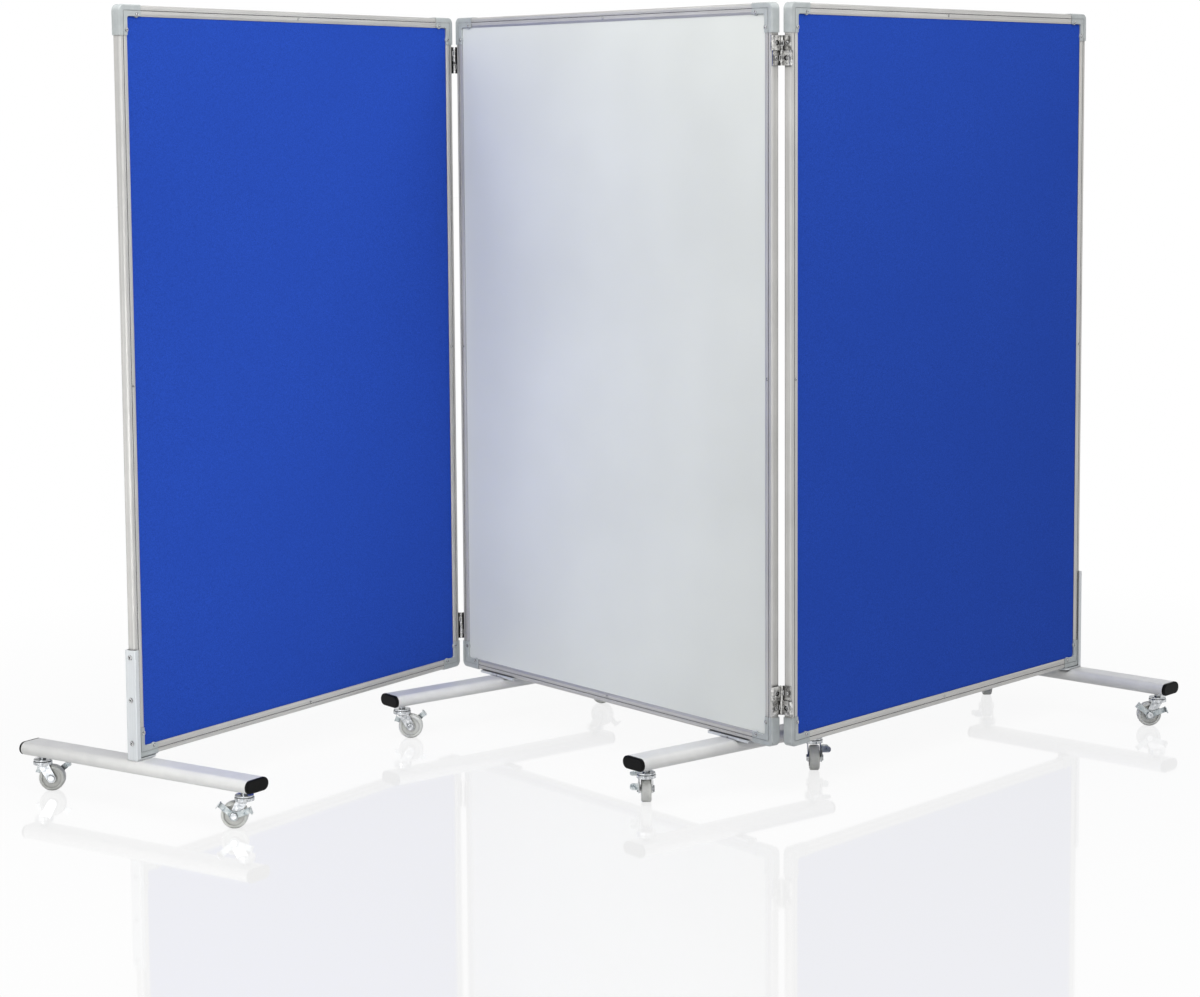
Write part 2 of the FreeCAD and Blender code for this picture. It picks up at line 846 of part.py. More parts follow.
# Where each board stands: its middle along the row, the pivot of its seam and its fold
outer_step = panel_width + fold_gap
seam_x = half_width + seam_half
boards = {
    "left": (-outer_step, Vector(-seam_x, -pin_offset, 0), left_fold),
    "middle": (0, centre, 0),
    "right": (outer_step, Vector(seam_x, pin_offset, 0), right_fold),
}


def placed(board, shape, x=0, y=0, z=floor_gap):
    step, pivot, fold = boards[board]
    return turned(moved(shape, step + x, y, z), fold, z_axis, pivot)


nodes = {}


def add(name, board, shapes, x=0, z=floor_gap):
    nodes.setdefault(name, []).extend(placed(board, shape, x, 0, z) for shape in shapes)


board_layout = {
    "left": ((1,), -1),
    "middle": ((-1, 1), 0),
    "right": ((-1,), 1),
}
core = make_core()
sheets = make_sheets()
rails = make_rails()
for board, (hinge_sides, post_side) in board_layout.items():
    add(board + "_core", board, core)
    add(board + "_sheets", board, sheets)
    add(board + "_rails", board, rails)
    add(board + "_stiles", board, make_stiles(hinge_sides, post_side))
    add(board + "_corner_caps", board, make_caps(post_side))
    add(board + "_fasteners", board, board_fasteners(hinge_sides, post_side))

# The two feet on the left are longer than the two on the right
foot_lengths = {-1: long_foot_length, 1: short_foot_length}
for board, side in (("left", -1), ("right", 1)):
    x = side * (half_width - outer_foot_inset)
    add(board + "_foot_tube", board, [make_tube(foot_lengths[side], x)])
    add(board + "_foot_plugs", board, make_plugs(foot_lengths[side], x))
    add(board + "_foot_bracket", board, [make_post(side)])
    outer_pieces, middle_pieces, pins = make_seam(side)
    add(board + "_hinge_plates", board, outer_pieces, -side * seam_x)
    add("middle_hinge_plates", "middle", middle_pieces, side * seam_x)
    add("hinge_pins", "middle", pins, side * seam_x)

for side in (-1, 1):
    x = side * (half_width - middle_foot_inset)
    add("middle_foot_tubes", "middle", [make_tube(foot_lengths[side], x)])
    add("middle_foot_plugs", "middle", make_plugs(foot_lengths[side], x))
    add("middle_foot_brackets", "middle", [make_bracket(x)])
    add("middle_fasteners", "middle", bracket_screws(x))

# Casters: the board that carries each, and its place along and across that board
outer_x = half_width - outer_foot_inset
middle_x = half_width - middle_foot_inset
long_y = long_foot_length / 2 - caster_from_end
short_y = short_foot_length / 2 - caster_from_end
caster_sites = {
    "left_back": ("left", -outer_x, long_y),
    "left_front": ("left", -outer_x, -long_y),
    "middle_left_front": ("middle", -middle_x, -long_y),
    "middle_left_back": ("middle", -middle_x, long_y),
    "middle_right_front": ("middle", middle_x, -short_y),
    "middle_right_back": ("middle", middle_x, short_y),
    "right_front": ("right", outer_x, -short_y),
    "right_back": ("right", outer_x, short_y),
}
for name, (board, x, y) in caster_sites.items():
    heading = caster_headings[name] - boards[board][2]
    nodes.setdefault(board + "_caster_stems", []).append(placed(board, stem, x, y, 0))
    for kind, pieces in (("fork", (fork, axle)), ("wheel", (wheel,)), ("brake", (brake,))):
        nodes[name + "_" + kind] = [placed(board, turned(piece, heading), x, y, 0) for piece in pieces]

# The origin is the middle of the underside of the whole divider's box
everything = Part.makeCompound([piece for pieces in nodes.values() for piece in pieces])
extent = everything.optimalBoundingBox(False, False)
shift = Vector(-extent.Center.x, -extent.Center.y, -extent.ZMin)
for name, pieces in nodes.items():
    group = Part.makeCompound(pieces)
    group.translate(shift)
    group.exportStep("parts/" + name + ".step")
print("shift", shift.x, shift.y, shift.z)
print("extent", extent.XLength, extent.YLength, extent.ZLength)
print("nodes", len(nodes), "solids", len(everything.Solids))
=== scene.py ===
import math

import bpy
import numpy as np
from mathutils import Matrix, Vector


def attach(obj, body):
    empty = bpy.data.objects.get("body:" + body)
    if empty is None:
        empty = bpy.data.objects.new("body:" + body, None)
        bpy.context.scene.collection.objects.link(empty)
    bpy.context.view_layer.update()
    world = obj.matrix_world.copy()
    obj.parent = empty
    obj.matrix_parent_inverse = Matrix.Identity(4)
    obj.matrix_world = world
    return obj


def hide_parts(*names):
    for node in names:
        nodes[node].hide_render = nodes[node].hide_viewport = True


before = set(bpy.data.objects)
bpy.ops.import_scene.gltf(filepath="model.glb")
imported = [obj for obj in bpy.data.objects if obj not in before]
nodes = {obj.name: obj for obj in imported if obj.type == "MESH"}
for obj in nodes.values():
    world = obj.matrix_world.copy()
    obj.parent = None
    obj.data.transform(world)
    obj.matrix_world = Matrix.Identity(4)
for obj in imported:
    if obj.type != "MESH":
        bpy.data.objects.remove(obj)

scene = bpy.context.scene
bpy.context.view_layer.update()  # the imported CAD model brought up to date, before anything is added


# display colour (0 to 255) to the linear colour a shader takes
def tone(red, green, blue):
    shown = np.array([red, green, blue]) / 255.0
    linear = np.where(shown <= 0.04045, shown / 12.92, ((shown + 0.055) / 1.055) ** 2.4)
    return tuple(float(v) for v in linear) + (1.0,)


# one shader node: its settings first, then the values of its sockets
def put(tree, kind, values=None, **settings):
    node = tree.nodes.new("ShaderNode" + kind)
    for key, value in settings.items():
        setattr(node, key, value)
    for key, value in (values or {}).items():
        node.inputs[key].default_value = value
    return node


# a new material with its shader joined to the output; the values go on the shader's own sockets
def startFinish(name, values):
    finish = bpy.data.materials.new(name)
    finish.use_nodes = True
    tree = finish.node_tree
    tree.nodes.clear()
    shader = put(tree, "BsdfPrincipled", values)
    output = put(tree, "OutputMaterial")
    tree.links.new(shader.outputs["BSDF"], output.inputs["Surface"])
    return finish, tree, shader


# object coordinates in metres, turned back by the board's angle, then divided by the grain's lengths
def grain(tree, lengths, turn=0.0):
    coords = put(tree, "TexCoord")
    mapping = put(tree, "Mapping", {"Rotation": (0, 0, turn), "Scale": lengths}, vector_type="TEXTURE")
    tree.links.new(coords.outputs["Object"], mapping.inputs["Vector"])
    return mapping.outputs["Vector"]


# layered noise of a vector, one value from 0 to 1
def noise(tree, vector, detail=3.0, roughness=0.55, distortion=0.0):
    node = put(tree, "TexNoise", {
        "Scale": 1.0, "Detail": detail, "Roughness": roughness, "Distortion": distortion})
    tree.links.new(vector, node.inputs["Vector"])
    return node.outputs["Fac"]


# noise keeps near a half, so its middle is stretched over low to high
def spread(tree, value, low, high, fromLow=0.32, fromHigh=0.68):
    node = put(tree, "MapRange", {
        "From Min": fromLow, "From Max": fromHigh, "To Min": low, "To Max": high})
    tree.links.new(value, node.inputs["Value"])
    return node.outputs["Result"]


# a colour between two others by a factor; either colour may be a socket
def blendTone(tree, factor, first, second):
    node = put(tree, "Mix", data_type="RGBA")
    tree.links.new(factor, node.inputs[0])
    for socket, value in ((node.inputs[6], first), (node.inputs[7], second)):
        if isinstance(value, tuple):
            socket.default_value = value
        else:
            tree.links.new(value, socket)
    return node.outputs[2]


# bumps one on another, each (height, depth in metres, strength), onto the shader's normal
def relief(tree, shader, *layers):
    below = None
    for height, depth, strength in layers:
        bump = put(tree, "Bump", {"Distance": depth, "Strength": strength})
        tree.links.new(height, bump.inputs["Height"])
        if below:
            tree.links.new(below, bump.inputs["Normal"])
        below = bump.outputs["Normal"]
    tree.links.new(below, shader.inputs["Normal"])


# joins each value to the shader's socket of that name
def feed(tree, shader, **sockets):
    for name, value in sockets.items():
        tree.links.new(value, shader.inputs[name])


# painted shade and pale edges on every hard piece: the readings at which each is full and at which it
# ends, and the samples taken
paintedShadeAndEdgeReadings = {"openness": (0.42, 0.95), "paintedShadeSamples": 8, "lean": (0.75, 0.99), "edgeSamples": 4}


# painted shade: the base goes dark where other surfaces stand close, by ambient occlusion, in grooves,
# holes and joints;
# and pale on edges, by how far a rounded normal leans from the true one, partly edge wear and partly a
# painted highlight
def paintedShadeAndPaleEdges(tree, base, look):
    # painted shade: ambient occlusion darkens the base where other surfaces stand close
    close = put(tree, "AmbientOcclusion", {"Distance": look["paintedShadeReach"]}, samples=paintedShadeAndEdgeReadings["paintedShadeSamples"])
    shade = spread(tree, close.outputs["AO"], look["paintedShadeShare"], 0.0, *paintedShadeAndEdgeReadings["openness"])
    base = blendTone(tree, shade, base, look["paintedShade"])
    # pale edges: partly edge wear, partly a painted highlight
    rounded = put(tree, "Bevel", {"Radius": look["edgeReach"]}, samples=paintedShadeAndEdgeReadings["edgeSamples"])
    surface = put(tree, "NewGeometry")
    lean = put(tree, "VectorMath", operation="DOT_PRODUCT")
    tree.links.new(rounded.outputs["Normal"], lean.inputs[0])
    tree.links.new(surface.outputs["Normal"], lean.inputs[1])
    edge = spread(tree, lean.outputs["Value"], look["edgeShare"], 0.0, *paintedShadeAndEdgeReadings["lean"])
    return blendTone(tree, edge, base, look["edge"])


# drawn metal: fine lines along one axis (0 the board's run, 2 upright) change tone, gloss and height
def drawnMetal(name, look, turn=0.0, along=0):
    lengths = [look["linePitch"]] * 3
    lengths[along] = look["lineLength"]
    finish, tree, shader = startFinish(name, {"Metallic": look["metallic"], "IOR": 1.5})
    lines = noise(tree, grain(tree, lengths, turn), 2.0, 0.5)
    cloud = noise(tree, grain(tree, (look["cloud"],) * 3), 3.0)
    specks = noise(tree, grain(tree, (look["speck"],) * 3), 1.0)
    base = blendTone(tree, spread(tree, lines, 0.0, 1.0), look["dark"], look["light"])
    base = blendTone(tree, spread(tree, cloud, 0.0, look["cloudShare"]), base, look["dark"])
    base = paintedShadeAndPaleEdges(tree, base, look)
    gloss = spread(tree, lines, look["smooth"], look["rough"])
    feed(tree, shader, **{"Base Color": base, "Roughness": gloss})
    relief(tree, shader, (lines, look["depth"], 0.6), (specks, look["depth"] * 0.5, 0.3))
    return finish


# moulded or sprayed coat: a fine pebble over slow clouds of tone
def mouldedCoat(name, look, extra=None):
    values = {"Metallic": 0.0, "IOR": 1.48}
    values.update(extra or {})
    finish, tree, shader = startFinish(name, values)
    pebble = noise(tree, grain(tree, (look["pebble"],) * 3), 2.0, 0.6)
    cloud = noise(tree, grain(tree, (look["cloud"],) * 3), 4.0)
    base = blendTone(tree, spread(tree, cloud, 0.0, 1.0), look["dark"], look["light"])
    base = paintedShadeAndPaleEdges(tree, base, look)
    gloss = spread(tree, pebble, look["smooth"], look["rough"])
    feed(tree, shader, **{"Base Color": base, "Roughness": gloss})
    relief(tree, shader, (pebble, look["depth"], 0.5), (cloud, look["depth"], 0.15))
    return finish


plateHairline = (0.00025, 0.00025, 0.012)  # polishing lines, in metres


# plated steel: blotches of tone, hairlines across them
def platedSteel(name, look):
    finish, tree, shader = startFinish(name, {"Metallic": look["metallic"], "IOR": 1.5})
    blotch = noise(tree, grain(tree, (look["blotch"],) * 3), 4.0, 0.6)
    hairline = noise(tree, grain(tree, plateHairline), 1.0)
    base = blendTone(tree, spread(tree, blotch, 0.0, 1.0), look["dark"], look["light"])
    base = paintedShadeAndPaleEdges(tree, base, look)
    gloss = spread(tree, blotch, look["smooth"], look["rough"])
    feed(tree, shader, **{"Base Color": base, "Roughness": gloss})
    relief(tree, shader, (hairline, look["depth"], 0.35), (blotch, look["depth"] * 2, 0.3))
    return finish


# where a board lies: middle, run, facing and half sizes of a thin flat node, from its own corners
def boardFrame(nodeName):
    mesh = nodes[nodeName].data
    points = np.empty(len(mesh.vertices) * 3, np.float32)
    mesh.vertices.foreach_get("co", points)
    points = points.reshape(-1, 3).astype(float)
    middle = (points.max(0) + points.min(0)) / 2
    flat = points[:, :2] - middle[:2]
    run = np.linalg.svd(flat, full_matrices=False)[2][0]
    run = run if run[np.abs(run).argmax()] > 0 else -run
    facing = np.array([run[1], -run[0]])
    along, out = flat @ run, flat @ facing
    return {
        "middle": middle,
        "run": np.array([run[0], run[1], 0.0]),
        "facing": np.array([facing[0], facing[1], 0.0]),
        "turn": math.atan2(run[1], run[0]),
        "halfRun": float(np.abs(along).max()),
        "halfTall": float(np.ptp(points[:, 2]) / 2),
        "halfOut": float(np.abs(out).max()),
    }


boards = {name: boardFrame(name + "_sheets") for name in ("left", "middle", "right")}
for name, place in boards.items():
    print("board %s: turned %.1f deg, %.0f x %.0f mm" % (
        name, math.degrees(place["turn"]), place["halfRun"] * 2000, place["halfTall"] * 2000))


# frame bars
frameLook = {
    "dark": tone(172, 171, 169), "light": tone(214, 213, 210), "metallic": 0.5,
    "linePitch": 0.0006, "lineLength": 0.5, "speck": 0.0009, "cloud": 0.08, "cloudShare": 0.35,
    "smooth": 0.46, "rough": 0.6, "depth": 0.00003,
    # the dark tone is painted shade in grooves and joints; the pale edge tone is partly edge wear, partly
    # a painted highlight
    "paintedShade": tone(84, 83, 82), "paintedShadeReach": 0.006, "paintedShadeShare": 1.0,
    "edge": tone(246, 246, 246), "edgeReach": 0.0006, "edgeShare": 0.7,
}
railFinish = {name: drawnMetal(name + "RailAluminium", frameLook, place["turn"], 0)
              for name, place in boards.items()}
stileFinish = drawnMetal("stileAluminium", frameLook, 0.0, 2)

# corner caps
capLook = {
    "dark": tone(163, 168, 169), "light": tone(175, 180, 180), "pebble": 0.0006, "cloud": 0.02,
    "smooth": 0.34, "rough": 0.48, "depth": 0.00004,
    # the dark tone is faint painted shade in the groove and against the frame; the pale edge tone is
    # partly edge wear, partly a painted highlight
    "paintedShade": tone(84, 88, 92), "paintedShadeReach": 0.0026, "paintedShadeShare": 0.4,
    "edge": tone(206, 210, 211), "edgeReach": 0.0008, "edgeShare": 0.5,
}
capFinish = mouldedCoat("capPlastic", capLook)

# foot tubes: sprayed powder coat
footLook = {
    "dark": tone(204, 204, 203), "light": tone(214, 214, 212), "pebble": 0.0011, "cloud": 0.05,
    "smooth": 0.32, "rough": 0.44, "depth": 0.00006,
    # the dark tone is painted shade where other parts stand close; the pale edge tone is partly edge wear,
    # partly a painted highlight
    "paintedShade": tone(120, 121, 124), "paintedShadeReach": 0.008, "paintedShadeShare": 0.8,
    "edge": tone(228, 228, 228), "edgeReach": 0.0008, "edgeShare": 0.5,
}
footFinish = mouldedCoat("footPaint", footLook, {"Coat Weight": 0.1, "Coat Roughness": 0.25})

# posts and foot brackets
bracketLook = {
    "dark": tone(198, 202, 205), "light": tone(214, 217, 219), "metallic": 0.25,
    "linePitch": 0.0007, "lineLength": 0.3, "speck": 0.0009, "cloud": 0.06, "cloudShare": 0.35,
    "smooth": 0.4, "rough": 0.52, "depth": 0.00003,
    # the dark tone is painted shade where other surfaces stand close; the pale edge tone is partly edge
    # wear, partly a painted highlight
    "paintedShade": tone(84, 86, 90), "paintedShadeReach": 0.005, "paintedShadeShare": 0.85,
    "edge": tone(246, 246, 246), "edgeReach": 0.0007, "edgeShare": 0.7,
}
bracketFinish = drawnMetal("bracketAluminium", bracketLook, 0.0, 2)

# tube end plugs
plugLook = {
    "dark": tone(4, 4, 4), "light": tone(9, 9, 9), "pebble": 0.0008, "cloud": 0.012,
    "smooth": 0.42, "rough": 0.6, "depth": 0.00006,
    # the darker tone is painted shade in the recesses; the lighter edge tone is partly edge wear, partly a
    # painted highlight
    "paintedShade": tone(3, 3, 3), "paintedShadeReach": 0.004, "paintedShadeShare": 0.8,
    "edge": tone(15, 15, 16), "edgeReach": 0.0012, "edgeShare": 0.5,
}
plugFinish = mouldedCoat("plugPlastic", plugLook, {"Specular IOR Level": 0.12})

# screws and rivets
fastenerLook = {
    "dark": tone(118, 119, 121), "light": tone(238, 238, 238), "blotch": 0.0022, "metallic": 0.6,
    "smooth": 0.2, "rough": 0.36, "depth": 0.00002,
    # the near-black tone is painted shade in rivet holes, screw slots and around heads; the white edge
    # tone is partly edge wear, partly a painted highlight
    "paintedShade": tone(8, 8, 9), "paintedShadeReach": 0.006, "paintedShadeShare": 1.0,
    "edge": tone(250, 250, 250), "edgeReach": 0.0004, "edgeShare": 0.6,
}
fastenerFinish = platedSteel("fastenerZinc", fastenerLook)

# hinge leaves, links and pins
hingeLook = {
    "dark": tone(88, 88, 88), "light": tone(236, 235, 232), "blotch": 0.009, "metallic": 0.9,
    "smooth": 0.12, "rough": 0.26, "depth": 0.00002,
    # the near-black tone is painted shade where hinge parts stand close; the white edge tone is partly
    # edge wear, partly a painted highlight
    "paintedShade": tone(14, 14, 15), "paintedShadeReach": 0.006, "paintedShadeShare": 1.0,
    "edge": tone(252, 252, 252), "edgeReach": 0.0006, "edgeShare": 0.8,
}
hingeFinish = platedSteel("hingeSteel", hingeLook)

# caster forks and stems
casterLook = {
    "dark": tone(146, 150, 154), "light": tone(226, 228, 230), "blotch": 0.006, "metallic": 0.95,
    "smooth": 0.1, "rough": 0.22, "depth": 0.00002,
    # the near-black tone is painted shade where other parts stand close; the white edge tone is partly
    # edge wear, partly a painted highlight
    "paintedShade": tone(12, 13, 15), "paintedShadeReach": 0.006, "paintedShadeShare": 1.0,
    "edge": tone(250, 250, 250), "edgeReach": 0.0006, "edgeShare": 0.7,
}
casterFinish = platedSteel("casterZinc", casterLook)

# caster brakes
brakeLook = {
    "dark": tone(140, 152, 157), "light": tone(212, 216, 216), "blotch": 0.007, "metallic": 0.6,
    "smooth": 0.24, "rough": 0.4, "depth": 0.00003,
    # the dark tone is painted shade where other parts stand close; the pale edge tone is partly edge wear,
    # partly a painted highlight
    "paintedShade": tone(14, 22, 28), "paintedShadeReach": 0.007, "paintedShadeShare": 1.0,
    "edge": tone(238, 240, 240), "edgeReach": 0.0006, "edgeShare": 0.7,
}
brakeFinish = platedSteel("brakeSteel", brakeLook)

# caster wheels: milky plastic that lets some light through
wheelLook = {
    "dark": tone(202, 203, 199), "light": tone(216, 217, 213), "pebble": 0.0009, "cloud": 0.009,
    "smooth": 0.3, "rough": 0.46, "depth": 0.00004,
    # the grey tone is painted shade where other parts stand close; the pale edge tone is partly edge wear,
    # partly a painted highlight
    "paintedShade": tone(120, 120, 116), "paintedShadeReach": 0.006, "paintedShadeShare": 0.7,
    "edge": tone(222, 222, 216), "edgeReach": 0.0008, "edgeShare": 0.4,
}
wheelFinish = mouldedCoat("wheelPlastic", wheelLook, {
    "Subsurface Weight": 0.35, "Subsurface Radius": (0.005, 0.005, 0.005), "Subsurface Scale": 1.0,
    "Transmission Weight": 0.1})

# writing surface: gloss enamel on steel with a faint orange peel and wiped patches
enamelLook = {
    "dark": tone(214, 217, 212), "light": tone(221, 224, 219), "cloud": 0.35, "peel": 0.004,
    "wipe": (0.25, 0.05, 0.03), "smooth": 0.42, "rough": 0.54, "depth": 0.00001,
}


def boardEnamel(look, turn):
    finish, tree, shader = startFinish("boardEnamel", {
        "Metallic": 0.0, "Specular IOR Level": 0.32, "Coat Weight": 0.05, "Coat Roughness": 0.3})
    cloud = noise(tree, grain(tree, (look["cloud"],) * 3, turn), 2.0)
    wiped = noise(tree, grain(tree, look["wipe"], turn), 3.0)
    peel = noise(tree, grain(tree, (look["peel"],) * 3, turn), 1.0)
    base = blendTone(tree, spread(tree, cloud, 0.0, 1.0), look["dark"], look["light"])
    gloss = spread(tree, wiped, look["smooth"], look["rough"])
    feed(tree, shader, **{"Base Color": base, "Roughness": gloss})
    relief(tree, shader, (peel, look["depth"], 0.25))
    return finish


enamelFinish = boardEnamel(enamelLook, boards["middle"]["turn"])

# board core: pressed fibre
coreLook = {"dark": tone(122, 96, 66), "light": tone(176, 146, 108), "fibre": (0.006, 0.0012, 0.0012)}


def pressedFibre(look):
    finish, tree, shader = startFinish("coreFibre", {"Roughness": 0.85})
    fibre = noise(tree, grain(tree, look["fibre"]), 5.0, 0.65)
    feed(tree, shader, **{
        "Base Color": blendTone(tree, spread(tree, fibre, 0.0, 1.0), look["dark"], look["light"])})
    relief(tree, shader, (fibre, 0.0002, 0.6))
    return finish


coreFinish = pressedFibre(coreLook)

# felt: matted fibres two ways across each other, slow pressed patches, a pale nap at grazing light
feltLook = {
    "dark": tone(26, 55, 143), "light": tone(41, 85, 198), "patch": tone(31, 67, 167),
    "fibreLength": 0.0034, "fibreWidth": 0.00028, "tuft": 0.0016, "matted": (0.8, 1.35),
    "pressed": 0.22, "pressedShare": 0.3, "depth": 0.00022,
}


def blueFelt(name, look, turn):
    finish, tree, shader = startFinish(name, {
        "Roughness": 0.95, "Specular IOR Level": 0.12, "Sheen Weight": 0.06, "Sheen Roughness": 0.5,
        "Sheen Tint": tone(90, 125, 220)})
    lengthwise = noise(tree, grain(
        tree, (look["fibreLength"], look["fibreWidth"], look["fibreWidth"]), turn), 2.0, 0.6, 0.8)
    upright = noise(tree, grain(
        tree, (look["fibreWidth"], look["fibreWidth"], look["fibreLength"]), turn), 2.0, 0.6, 0.8)
    tuft = noise(tree, grain(tree, (look["tuft"],) * 3, turn), 3.0, 0.6, 0.4)
    pressed = noise(tree, grain(tree, (look["pressed"],) * 3, turn), 2.0)
    crossed = put(tree, "Math", operation="MAXIMUM")
    tree.links.new(lengthwise, crossed.inputs[0])
    tree.links.new(upright, crossed.inputs[1])
    matted = put(tree, "Math", operation="ADD")
    tree.links.new(crossed.outputs[0], matted.inputs[0])
    tree.links.new(tuft, matted.inputs[1])
    nap = spread(tree, matted.outputs[0], 0.0, 1.0, *look["matted"])
    base = blendTone(tree, nap, look["dark"], look["light"])
    base = blendTone(tree, spread(tree, pressed, 0.0, look["pressedShare"]), base, look["patch"])
    feed(tree, shader, **{"Base Color": base})
    relief(tree, shader, (tuft, look["depth"], 0.5), (crossed.outputs[0], look["depth"] * 0.6, 0.6))
    return finish


feltFinish = {name: blueFelt(name + "Felt", feltLook, boards[name]["turn"]) for name in ("left", "right")}

# which finish goes on which CAD node
finishOf = {}
for name in boards:
    finishOf[name + "_core"] = coreFinish
    finishOf[name + "_sheets"] = enamelFinish if name == "middle" else feltFinish[name]
    finishOf[name + "_rails"] = railFinish[name]
    finishOf[name + "_stiles"] = stileFinish
    finishOf[name + "_corner_caps"] = capFinish
    finishOf[name + "_fasteners"] = fastenerFinish
    finishOf[name + "_hinge_plates"] = hingeFinish
    finishOf[name + "_caster_stems"] = casterFinish
finishOf["hinge_pins"] = hingeFinish
byEnding = {
    "_foot_tube": footFinish, "_foot_tubes": footFinish, "_foot_plugs": plugFinish,
    "_foot_bracket": bracketFinish, "_foot_brackets": bracketFinish,
    "_fork": casterFinish, "_wheel": wheelFinish, "_brake": brakeFinish,
}
for name, node in nodes.items():
    if name not in finishOf:
        finishOf[name] = next(finish for ending, finish in byEnding.items() if name.endswith(ending))
    for slot in node.material_slots:
        slot.material = finishOf[name]
    if not node.material_slots:
        node.data.materials.append(finishOf[name])
print("finishes: %d on %d nodes" % (len(set(finishOf.values())), len(finishOf)))


# felt faces
feltCut = {
    "cornerRound": 0.0055,  # the felt's corners follow the caps
    "shoulder": 0.007,      # how far from the frame the felt rises to its full height
    "swell": 0.0004,        # height of the open felt over its gripped edge
    "wave": 0.00005,        # slow unevenness of the glued cloth
    "waves": 9, "waveReach": (18.0, 95.0),  # how many cross, and their radians per metre
    "sink": 0.0001,         # the gripped edge lies this far under the CAD sheet
    "pitch": 0.009, "thickness": 0.0009, "seed": 11,
}
edgeSteps = np.array([0.0, 0.0006, 0.0014, 0.0024, 0.0036, 0.005, 0.0066, 0.0085, 0.0108, 0.014])


# stations across a half size: close together at both edges, even between them
def stations(half, pitch):
    count = int(2 * (half - edgeSteps[-1]) / pitch)
    inner = np.linspace(-half + edgeSteps[-1], half - edgeSteps[-1], count)[1:-1]
    return np.concatenate([-half + edgeSteps, inner, half - edgeSteps[::-1]])


# felt height: a smooth step from the edge over the shoulder, times the swell, plus slow crossed waves;
# each row's half width is the window's less the corner round's sagitta at that height
def feltSurface(place, side, cut):
    across, upward = np.meshgrid(stations(place["halfRun"], cut["pitch"]),
                                 stations(place["halfTall"], cut["pitch"]), indexing="xy")
    into = np.clip(np.abs(upward) - (place["halfTall"] - cut["cornerRound"]), 0, cut["cornerRound"])
    narrowed = place["halfRun"] - cut["cornerRound"] + np.sqrt(cut["cornerRound"] ** 2 - into ** 2)
    across = across / place["halfRun"] * narrowed
    edge = np.minimum(narrowed - np.abs(across), place["halfTall"] - np.abs(upward))
    rise = np.clip(edge / cut["shoulder"], 0, 1)
    rise = rise * rise * (3 - 2 * rise)
    rng = np.random.default_rng(cut["seed"] + (side > 0))
    turns = rng.uniform(0, 2 * np.pi, (cut["waves"], 2))
    reach = rng.uniform(*cut["waveReach"], cut["waves"])
    phase = (across[..., None] * np.cos(turns[:, 0]) + upward[..., None] * np.sin(turns[:, 0])) * reach
    wave = np.sin(phase + turns[:, 1]).sum(-1) / math.sqrt(cut["waves"])
    height = place["halfOut"] - cut["sink"] + rise * (cut["swell"] + cut["wave"] * wave)
    return (place["middle"] + across[..., None] * place["run"] + upward[..., None] * np.array([0, 0, 1.0])
            + (side * height)[..., None] * place["facing"])


# a grid of points as a mesh: each cell one face, turned so that it faces along the given direction
def gridMesh(name, points, facing):
    rows, columns = points.shape[:2]
    index = np.arange(rows * columns).reshape(rows, columns)
    faces = np.stack([index[:-1, :-1], index[:-1, 1:], index[1:, 1:], index[1:, :-1]], -1).reshape(-1, 4)
    flat = points.reshape(-1, 3)
    first = flat[faces[0]]
    if np.cross(first[1] - first[0], first[3] - first[0]) @ facing < 0:
        faces = faces[:, ::-1]
    mesh = bpy.data.meshes.new(name)
    mesh.from_pydata(flat.tolist(), [], faces.tolist())
    mesh.polygons.foreach_set("use_smooth", np.ones(len(faces), bool))
    mesh.update()
    piece = bpy.data.objects.new(name, mesh)
    scene.collection.objects.link(piece)
    return piece


for board in ("left", "right"):
    place = boards[board]
    for sideName, side in (("Front", 1), ("Back", -1)):
        points = feltSurface(place, side, feltCut)
        piece = gridMesh(board + "Felt" + sideName, points, side * place["facing"])
        piece.data.materials.append(feltFinish[board])
        shell = piece.modifiers.new("cloth", "SOLIDIFY")
        shell.thickness = feltCut["thickness"]
        shell.offset = -1
        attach(piece, board + "_panel")
        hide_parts(board + "_sheets")
    print("felt: %s board, %d faces each side" % (board, len(piece.data.polygons)))


# 1 on rays that show the backdrop: straight from the camera, off gloss or through clear plastic
def shownRays(tree):
    path = put(tree, "LightPath")
    either = put(tree, "Math", operation="MAXIMUM")
    shown = put(tree, "Math", operation="MAXIMUM")
    tree.links.new(path.outputs["Is Camera Ray"], either.inputs[0])
    tree.links.new(path.outputs["Is Glossy Ray"], either.inputs[1])
    tree.links.new(either.outputs[0], shown.inputs[0])
    tree.links.new(path.outputs["Is Transmission Ray"], shown.inputs[1])
    return shown.outputs[0]


# floor: lit white with a faint mirror; away from the object it turns to plain paper white
floorLook = {
    "size": 60.0, "diffuse": 0.6, "mirror": 0.13, "mirrorRough": 0.05,
    "nearShare": 0.92, "nearReach": 0.9, "farReach": 2.4, "middle": (0.1, 0.0),
}


